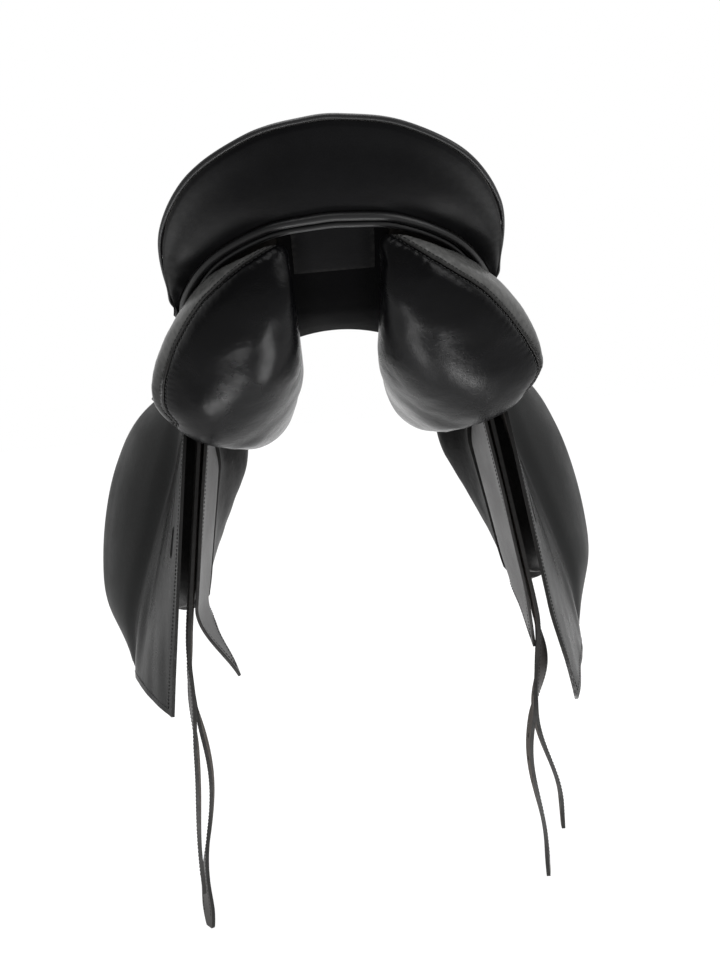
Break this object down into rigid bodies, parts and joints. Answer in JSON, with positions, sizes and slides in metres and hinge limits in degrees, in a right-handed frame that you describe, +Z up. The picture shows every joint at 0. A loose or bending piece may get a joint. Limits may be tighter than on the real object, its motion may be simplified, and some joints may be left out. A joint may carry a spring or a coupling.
{
  "type": "dressage saddle",
  "caption": "Black leather dressage saddle: deep seat with high cantle, stuffed panels, long straight flaps that lift over thigh blocks, and hanging girth straps.",
  "frame": {"origin": "on the centre line under the middle of the seat, level with the top of the horse's back", "axes": "+Y forward to the pommel, +X to the right-hand (off) side, +Z up"},
  "size_m": [0.5662, 0.4945, 0.8199],
  "materials": {
    "black_leather": "semi-gloss",
    "panel_leather": "soft semi-gloss",
    "sweat_leather": "satin",
    "strap_leather": "satin",
    "block_cover": "soft",
    "foam": "matt foam",
    "webbing": "woven",
    "tree_wood": "plain laminated",
    "tree_steel": "plain",
    "bar_steel": "satin",
    "bright_metal": "polished"
  },
  "bodies": {
    "saddle": {"cantle_board": "tree_wood", "tree_rail_left": "tree_wood", "tree_rail_right": "tree_wood", "tree_head": "tree_wood", "gullet_plate": "tree_steel", "spring_left": "tree_steel", "spring_right": "tree_steel", "tree_rivets": "tree_steel", "long_web": "webbing", "girth_web_front": "webbing", "girth_web_rear": "webbing", "seat_foam": "foam", "seat_cover": "black_leather", "cantle_facing": "black_leather", "cantle_piping": "black_leather", "band_welt_upper": "black_leather", "band_welt_lower": "black_leather", "gullet_lining": "black_leather", "pommel_facing": "black_leather", "seat_yoke_left": "black_leather", "seat_yoke_right": "black_leather", "panel_left": "panel_leather", "panel_right": "panel_leather", "front_pad_left": "panel_leather", "front_pad_right": "panel_leather", "sweat_flap_left": "sweat_leather", "sweat_flap_right": "sweat_leather", "thigh_block_left": "block_cover", "thigh_block_right": "block_cover", "stirrup_bar_left": "bar_steel", "stirrup_bar_right": "bar_steel", "catch_pins": "bar_steel", "dee_chape_left": "black_leather", "dee_chape_right": "black_leather", "saddle_nails": "bright_metal"},
    "left_flap": {"flap_left": "black_leather"},
    "right_flap": {"flap_right": "black_leather"},
    "left_skirt": {"skirt_left": "black_leather"},
    "right_skirt": {"skirt_right": "black_leather"},
    "left_front_strap": {"billet_front_left": "strap_leather"},
    "left_rear_strap": {"billet_rear_left": "strap_leather"},
    "right_front_strap": {"billet_front_right": "strap_leather"},
    "right_rear_strap": {"billet_rear_right": "strap_leather"},
    "left_catch": {"bar_catch_left": "bar_steel"},
    "right_catch": {"bar_catch_right": "bar_steel"},
    "left_dee": {"dee_ring_left": "bright_metal"},
    "right_dee": {"dee_ring_right": "bright_metal"}
  },
  "joints": [
    {"name": "flap_lift_left", "type": "hinge", "parent": "saddle", "child": "left_flap", "pos_m": [-0.10978, 0.04, 0.053], "axis": [0, 1, 0], "range_deg": [0, 70]},
    {"name": "skirt_lift_left", "type": "hinge", "parent": "left_flap", "child": "left_skirt", "pos_m": [-0.11076, 0.08, 0.05899], "axis": [0, 1, 0], "range_deg": [0, 60]},
    {"name": "front_strap_swing_left", "type": "hinge", "parent": "saddle", "child": "left_front_strap", "pos_m": [-0.11013, 0.00722, 0.046], "axis": [1, 0, 0], "range_deg": [-1, 3]},
    {"name": "rear_strap_swing_left", "type": "hinge", "parent": "saddle", "child": "left_rear_strap", "pos_m": [-0.11013, -0.04129, 0.046], "axis": [1, 0, 0], "range_deg": [-10, 1]},
    {"name": "catch_flip_left", "type": "hinge", "parent": "saddle", "child": "left_catch", "pos_m": [-0.1259, 0.051, 0.025], "axis": [-1, 0, 0], "range_deg": [0, 28]},
    {"name": "dee_swing_left", "type": "hinge", "parent": "saddle", "child": "left_dee", "pos_m": [-0.07149, 0.19698, 0.09169], "axis": [0.6365, 0.7713, 0], "range_deg": [-2, 80]},
    {"name": "flap_lift_right", "type": "hinge", "parent": "saddle", "child": "right_flap", "pos_m": [0.10978, 0.04, 0.053], "axis": [0, -1, 0], "range_deg": [0, 70]},
    {"name": "skirt_lift_right", "type": "hinge", "parent": "right_flap", "child": "right_skirt", "pos_m": [0.11076, 0.08, 0.05899], "axis": [0, -1, 0], "range_deg": [0, 60]},
    {"name": "front_strap_swing_right", "type": "hinge", "parent": "saddle", "child": "right_front_strap", "pos_m": [0.11013, 0.00722, 0.046], "axis": [1, 0, 0], "range_deg": [-1, 3]},
    {"name": "rear_strap_swing_right", "type": "hinge", "parent": "saddle", "child": "right_rear_strap", "pos_m": [0.11013, -0.04129, 0.046], "axis": [1, 0, 0], "range_deg": [-10, 1]},
    {"name": "catch_flip_right", "type": "hinge", "parent": "saddle", "child": "right_catch", "pos_m": [0.1259, 0.051, 0.025], "axis": [-1, 0, 0], "range_deg": [0, 28]},
    {"name": "dee_swing_right", "type": "hinge", "parent": "saddle", "child": "right_dee", "pos_m": [0.07149, 0.19698, 0.09169], "axis": [0.6365, -0.7713, 0], "range_deg": [-2, 80]}
  ]
}
